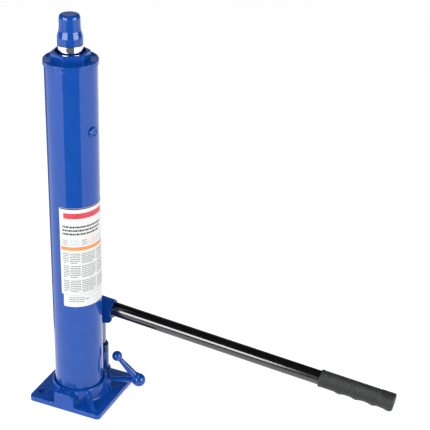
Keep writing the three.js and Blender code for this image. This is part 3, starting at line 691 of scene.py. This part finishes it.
def plunger():
    """Rod with a wider head that is cut to a rounded tongue with a slotted eye."""
    rod = lathe([(0, 12.3), (PLUNGER_RADIUS, 12.3), (PLUNGER_RADIUS, 66), (0, 66)], 0.6, 48)
    blank = lathe([(0, 64.5), (PLUNGER_HEAD, 64.5), (PLUNGER_HEAD, PLUNGER_TOP), (0, PLUNGER_TOP)], 0.9, 64)
    cheek = [(-11, 100.3), (11, 100.3), (11, 122), (-11, 122)]
    turns = [radians(9 * k) for k in range(21)]
    crown = [(-EYE_RADIUS * math.cos(turn), EYE.z + EYE_RADIUS * math.sin(turn)) for turn in turns]
    above = [(-11, EYE.z), *crown, (11, EYE.z), (11, 124), (-11, 124)]
    cutters = [upright(cheek, TONGUE, 14), upright(cheek, -14, -TONGUE), upright(above, -14, 14)]
    head = drilled(mesh_of("head", blank), cutters)
    head_shell = [v.co.copy() for v in head.vertices], [list(p.vertices) for p in head.polygons]
    mesh = fused("plunger", [rod, head_shell], 0.45, 3)
    slot = band([(0, EYE.z, SLOT_RADIUS), (SLOT_PLAY, EYE.z, SLOT_RADIUS)])
    return drilled(mesh, [upright(slot, -14, 14)])


piece("pump_plunger_rod", plunger(), BLUE_GREY_METAL, "plunger", ["pump_plunger"], PUMP)


def fulcrum_bracket():
    """Foot with two screw holes spot-faced for the heads, a tapering post and a gusset."""
    foot = flat([(-40, -6.5), (-15.8, -6.5), (-15.8, 14.2), (-40, 14.2)], 9.1, BRACKET_FOOT_TOP)
    post = upright(band([(FULCRUM.x, FULCRUM.z, 7.5), (-29, 14, 2.5), (-18.4, 14, 2.5)]), -5.6, 5.6)
    gusset = upright([(-38.5, 14), (-26, 14), (-26, 40)], -2.2, 2.2)
    mesh = roughened(fused("bracket", [foot, post, gusset], 0.6, 3), 0.06, 5)
    cutters = [between((FULCRUM.x, -20, FULCRUM.z), (FULCRUM.x, 20, FULCRUM.z), PIN_RADIUS + 0.3)]
    for x, y in BRACKET_SCREWS:
        cutters.append(between((x, y, 0), (x, y, 30), SCREW_BORE))
        cutters.append(between((x, y, BRACKET_FOOT_TOP - 0.3), (x, y, 30), SCREW_HEAD_BORE))
    return drilled(mesh, cutters)


piece("fulcrum_bracket_cast", fulcrum_bracket(), CAST_BLUE, "root", ["fulcrum_bracket"], PUMP)


def cap_screw():
    screw = lathe([(0, 3), (2.4, 3), (2.4, 16.3), (3.8, 16.3), (3.8, 20.3), (0, 20.3)], 0.35, 48)
    key_socket = flat(band([(0, 0, 2)], 6), 18.3, 21)
    return drilled(mesh_of("screw", screw), [key_socket])


for number, (x, y) in enumerate(BRACKET_SCREWS, 1):
    place = PUMP @ Matrix.Translation((x, y, 0))
    node_name = f"bracket_screw_{number}"
    piece(f"bracket_cap_screw_{number}", cap_screw(), STEEL, "root", [node_name], place)


def on_handle(distance):
    """A point on the handle's axis, in the pump's own axes."""
    along = distance * math.cos(HANDLE_SLOPE)
    return Vector((along, 0, HANDLE_HEIGHT - distance * math.sin(HANDLE_SLOPE)))


def handle_socket():
    """Short tube on two cheeks that straddle the plunger and the bracket."""
    back, front = on_handle(SOCKET_BACK + 1), on_handle(SOCKET_FRONT - 1)
    tube = between(on_handle(SOCKET_BACK), on_handle(SOCKET_FRONT), SOCKET_RADIUS, segments=72)
    outline = band([
        (FULCRUM.x, FULCRUM.z, 8.5), (EYE.x, EYE.z, 8), (16, 115.5, 8),
        (back.x, back.z, 1), (front.x, front.z, 1),
    ])
    shells = [tube, upright(outline, -CHEEK_OUTER, -CHEEK_INNER)]
    shells.append(upright(outline, CHEEK_INNER, CHEEK_OUTER))
    mesh = roughened(fused("socket", shells, 0.55, 3), 0.06, 5)
    bore = between(on_handle(TUBE_START - 0.3), on_handle(60), SOCKET_BORE, segments=72)
    mouth = between(on_handle(SOCKET_FRONT - 0.8), on_handle(SOCKET_FRONT + 1), SOCKET_BORE, 13.1, 72)
    slot = upright([(-9.8, 100), (9.8, 100), (9.8, 125), (-9.8, 125)], -CHEEK_INNER, CHEEK_INNER)
    cutters = [bore, mouth, slot]
    for pin in (EYE, FULCRUM):
        cutters.append(between((pin.x, -20, pin.z), (pin.x, 20, pin.z), PIN_RADIUS + 0.3))
    return drilled(mesh, cutters)


socket = handle_socket()
piece("handle_socket_cast", socket, CAST_BLUE, "lever", ["handle_socket"], PUMP, crease=38)

pin = lathe([
    (0, -PIN_END), (5, -PIN_END), (5, -PIN_SEAT), (PIN_RADIUS, -PIN_SEAT),
    (PIN_RADIUS, PIN_END), (0, PIN_END),
], 0.5, 56)
for name, centre in (("fulcrum_pin", FULCRUM), ("plunger_pin", EYE)):
    place = PUMP @ Matrix.Translation(centre) @ ALONG_Y
    piece(f"{name}_headed", pin, STEEL, "lever", [name], place)
    clip = mesh_of("clip", ring(3.8, 5.4, PIN_SEAT, 11.9, 0.25, 56))
    gap = flat([(-1.9, 0), (1.9, 0), (1.9, 8), (-1.9, 8)], 10, 13)
    clip = drilled(clip, [gap])
    piece(f"{name}_snap_ring", clip, STEEL, "lever", [f"{name}_clip"], place)

# ---------------------------------------------------------------- handle
place = HANDLE @ ALONG_X
tube = ring(HANDLE_RADIUS - HANDLE_WALL, HANDLE_RADIUS, TUBE_START, TUBE_END, 0.5, 112)
piece("handle_bar", tube, BLACK, "handle", ["handle_tube"], place)


def grip_rings():
    """Rings of the sleeve as (radius, distance along the handle, share of the swells)."""
    rings = [(GRIP_BORE, GRIP_END - 4, 0), (GRIP_BORE, GRIP_START + 0.3, 0)]
    rings += [(11.5, GRIP_START, 0), (12.3, GRIP_START, 0)]
    for k in range(RIB_RINGS + 1):
        along = GRIP_START + 0.6 + (GRIP_END - GRIP_START - 3.2) * k / RIB_RINGS
        edge = min(1.0, max(0.0, (along - GRIP_START) / 2), max(0.0, (GRIP_END - along) / 2))
        radius = GRIP_RADIUS - 0.55 * (1 - edge) ** 2
        if RIBS_FROM < along < RIBS_TO:
            fade = min(1.0, (along - RIBS_FROM) / 2, (RIBS_TO - along) / 2)
            wave = 0.5 - 0.5 * math.cos(2 * math.pi * (along - RIBS_FROM) / RIB_PITCH)
            radius -= RIB_DEPTH * fade * wave**0.7
        rings.append((radius, along, 1))
    for k in range(1, 7):
        angle = radians(15 * k)
        along = GRIP_END - 2.6 + 2.6 * math.sin(angle)
        rings.append((10.7 + 2.6 * math.cos(angle), along, 0.8 if k < 5 else 0.3))
    rings += [(5.6, GRIP_END, 0), (4.5, GRIP_END - 0.2, 0)]
    return rings + [(4.1, GRIP_END - 0.8, 0), (4.1, GRIP_END - 4, 0)]


def grip():
    """Sleeve with fine ribs round it and four swells under the fingers; Z runs along the handle."""
    segments = 96
    swells = [min(386.7 + 25.4 * i, GRIP_END - 6.5) for i in range(4)]
    rings = grip_rings()
    points, faces = [], []
    for radius, along, weight in rings:
        swell = max(math.exp(-(((along - middle) / 5.2) ** 2)) for middle in swells)
        for k in range(segments):
            angle = 2 * math.pi * k / segments
            under = max(0.0, math.cos(angle)) ** 1.5
            reach = radius + weight * SWELL_DEPTH * swell * under
            points.append(Vector((reach * math.cos(angle), reach * math.sin(angle), along)))
    for i in range(len(rings)):
        lower, upper = i * segments, ((i + 1) % len(rings)) * segments
        for k in range(segments):
            after = (k + 1) % segments
            faces.append([lower + k, lower + after, upper + after, upper + k])
    return points, faces


piece("handle_grip_ribbed", grip(), GRIP, "handle", ["handle_grip"], place, crease=60)

# ---------------------------------------------------------------- release valve
spindle = lathe([
    (0, -64), (1.6, -64), (SPINDLE_RADIUS, -61), (SPINDLE_RADIUS, 4), (0, 4),
], 0.4, 56)
piece("release_stem", spindle, BLUE, "release_screw", ["release_spindle"], VALVE @ ALONG_X)


def release_lever():
    arm = KNOB.normalized()
    shells = [ball((0, 0, 0), 10.6), between((0, 0, 0), KNOB, 6.7, 3.2), ball(KNOB, 7.9)]
    shells.append(between(arm * 8, arm * 14, 8, 5.6))
    mesh = roughened(fused("lever", shells, 0.5, 3), 0.05, 6)
    bore = between((-20, 0, 0), (4.3, 0, 0), SPINDLE_RADIUS + 0.3)
    pin_hole = between((1, -20, 0), (1, 20, 0), 1.8)
    return drilled(mesh, [bore, pin_hole])


lever = release_lever()
piece("release_handle", lever, BLUE, "release_screw", ["release_lever"], VALVE, crease=38)
roll = ring(0.7, 1.5, -9.4, 9.4, 0.25, 32)
place = VALVE @ Matrix.Translation((1, 0, 0)) @ ALONG_Y
piece("roll_pin_sleeve", roll, BLUE_GREY_METAL, "release_screw", ["lever_roll_pin"], place)

# ---------------------------------------------------------------- camera
AZIMUTH, ELEVATION, ROLL = radians(22.56), radians(27.64), radians(-1.85)
LENS = 101.56
CAMERA_PLACE = Vector((0.77134, -1.33655, 1.11721))
level = math.cos(ELEVATION)
back = Vector((math.sin(AZIMUTH) * level, -math.cos(AZIMUTH) * level, math.sin(ELEVATION)))
right = (-back).cross(Vector((0, 0, 1))).normalized()
down = (-back).cross(right)
side = math.cos(ROLL) * right + math.sin(ROLL) * down
below = -math.sin(ROLL) * right + math.cos(ROLL) * down
camera = bpy.data.objects.new("camera", bpy.data.cameras.new("camera"))
camera.data.lens = LENS
camera.data.sensor_width = 36
camera.data.clip_end = 30
turn = Matrix((side, -below, back)).transposed().to_4x4()
camera.matrix_world = Matrix.Translation(CAMERA_PLACE) @ turn
SCENE.collection.objects.link(camera)
SCENE.camera = camera


# ---------------------------------------------------------------- studio
def lamp_colour(name, colour, strength):
    material = bpy.data.materials.new(name)
    material.use_nodes = True
    nodes = material.node_tree.nodes
    nodes.remove(nodes["Principled BSDF"])
    glow = nodes.new("ShaderNodeEmission")
    glow.inputs["Color"].default_value = (*colour, 1)
    glow.inputs["Strength"].default_value = strength
    material.node_tree.links.new(glow.outputs[0], nodes["Material Output"].inputs["Surface"])
    return material


def hung(data, heading, elevation, distance):
    """A card or a light that faces AIM; heading is from +X, seen from the jack."""
    level = math.cos(radians(elevation))
    toward = Vector((
        math.cos(radians(heading)) * level,
        math.sin(radians(heading)) * level,
        math.sin(radians(elevation)),
    ))
    obj = linked(data)
    facing = toward.to_track_quat("Z", "Y").to_matrix().to_4x4()
    obj.matrix_world = Matrix.Translation(toward * distance + AIM) @ facing
    return obj


def reflected_only(obj):
    """Keeps a stage piece to reflections: it lights nothing and the camera doesn't see it."""
    obj.visible_camera = obj.visible_diffuse = obj.visible_shadow = False


def card(name, heading, elevation, distance, size, material):
    """A studio card that shows only in reflections."""
    x, y = size[0] / 2, size[1] / 2
    mesh = bpy.data.meshes.new(name)
    mesh.from_pydata([(-x, -y, 0), (x, -y, 0), (x, y, 0), (-x, y, 0)], [], [(0, 1, 2, 3)])
    mesh.materials.append(material)
    reflected_only(hung(mesh, heading, elevation, distance))


def soft_light(name, heading, elevation, distance, size, power):
    data = bpy.data.lights.new(name, "AREA")
    data.shape = "RECTANGLE"
    data.size, data.size_y = size
    data.energy = power
    obj = hung(data, heading, elevation, distance)
    obj.visible_glossy = obj.visible_camera = False


def floor_flag(name, first, last, near, material):
    """A stretch of darker floor, seen only in reflections, between two headings from the camera's."""
    turns = [radians(CAMERA_HEADING + first + (last - first) * k / 12) for k in range(13)]
    arc = [(math.cos(turn), math.sin(turn)) for turn in turns]
    points = [(FLAG_REACH * x, FLAG_REACH * y, 0.001) for x, y in arc]
    points += [(near * x, near * y, 0.001) for x, y in reversed(arc)]
    mesh = bpy.data.meshes.new(name)
    mesh.from_pydata(points, [], [list(range(len(points)))])
    mesh.materials.append(material)
    reflected_only(linked(mesh))


def white_paper():
    """White floor that also glows: painted light that keeps any shadow from showing round the plate; under
    the plate the glow is off, so the bolt holes stay dark.
    """
    paper = Nodes("white_paper", Roughness=0.9)
    paper.shader.inputs["Specular IOR Level"].default_value = 0.1
    paper.shader.inputs["Emission Color"].default_value = (1, 1, 1, 1)
    paper.colour(paper.noise(3, 2), (0.8, 0.8, 0.805), (0.81, 0.81, 0.815))
    offset = paper.add("VectorMath", {0: paper.place}, operation="SUBTRACT")
    offset.inputs[1].default_value = (PLATE_X * MM, PLATE_Y * MM, 0)
    offset = paper.add("VectorMath", {0: offset.outputs[0]}, operation="ABSOLUTE")
    sides = paper.add("SeparateXYZ", {0: offset.outputs[0]})
    reach = paper.add("Math", {0: sides.outputs["X"], 1: sides.outputs["Y"]}, operation="MAXIMUM")
    share = paper.add("Math", {0: reach.outputs[0]}, operation="DIVIDE")
    share.inputs[1].default_value = GLOW_REACH
    glow = paper.add("ValToRGB", {"Fac": share.outputs[0]})
    steps = glow.color_ramp.elements
    for distance, strength in GLOW:
        steps.new(distance / GLOW_REACH).color = (strength, strength, strength, 1)
    steps.remove(steps[-1])
    steps.remove(steps[0])
    paper.tree.links.new(glow.outputs["Color"], paper.shader.inputs["Emission Strength"])
    return paper.material


def studio_world():
    """White to the camera, a dim even fill for everything else, and nothing in reflections."""
    world = bpy.data.worlds.new("studio")
    world.use_nodes = True
    tree = world.node_tree
    fill = tree.nodes["Background"]
    fill.inputs["Color"].default_value = (1, 1, 1, 1)
    fill.inputs["Strength"].default_value = 0.35
    backdrop = tree.nodes.new("ShaderNodeBackground")
    backdrop.inputs["Color"].default_value = (1, 1, 1, 1)
    seen = tree.nodes.new("ShaderNodeLightPath")
    mixed = tree.nodes.new("ShaderNodeMixShader")
    tree.links.new(seen.outputs["Is Camera Ray"], mixed.inputs[0])
    tree.links.new(fill.outputs[0], mixed.inputs[1])
    tree.links.new(backdrop.outputs[0], mixed.inputs[2])
    tree.links.new(mixed.outputs[0], tree.nodes["World Output"].inputs["Surface"])
    world.cycles_visibility.glossy = False
    return world


AIM = Vector((0.1, 0, 0.28))
CAMERA_HEADING = math.degrees(math.atan2(CAMERA_PLACE.y, CAMERA_PLACE.x))  # from the jack
FLOOR_RADIUS, FLAG_REACH = 6, 4  # metres
GLOW_REACH = 4  # metres from the middle of the plate over which the floor's glow is set
# The floor's glow, painted light against contact shadows: off under the plate, nearly full just past its
# edge, full white far away.
GLOW = ((0.054, 0), (0.061, 0.68), (0.3, 0.6), (2, 0.6), (2.6, 1))  # distance and strength

floor_turns = [radians(4 * k) for k in range(90)]
floor_rim = [(FLOOR_RADIUS * math.cos(turn), FLOOR_RADIUS * math.sin(turn)) for turn in floor_turns]
floor = linked(mesh_of("floor", flat(floor_rim, -0.01, 0)))
floor.data.materials.append(white_paper())

soft_light("left_light", CAMERA_HEADING - 55, 20, 2.2, (1.5, 1.3), 25)
soft_light("right_light", CAMERA_HEADING + 55, 20, 2.2, (1.5, 1.3), 18)
soft_light("top_light", CAMERA_HEADING, 80, 2.4, (2.2, 1.6), 13)

BRIGHT = lamp_colour("card_bright", (1, 0.99, 0.98), 9)
DARK = lamp_colour("card_dark", (0.16, 0.165, 0.17), 1)
SOFT = lamp_colour("card_soft", (1, 1, 1), 0.35)
card("left_card", CAMERA_HEADING - 52, 17, 1.9, (1.68, 0.9), BRIGHT)
card("right_card", CAMERA_HEADING + 55, 17, 1.9, (1.68, 0.9), BRIGHT)
card("back_card", CAMERA_HEADING + 180, 24, 2.2, (2, 0.43), SOFT)
floor_flag("front_flag", -38, 33, 0.45, DARK)
floor_flag("back_flag", -136, -195, 0.2, DARK)

SCENE.world = studio_world()
SCENE.view_settings.view_transform = "Standard"
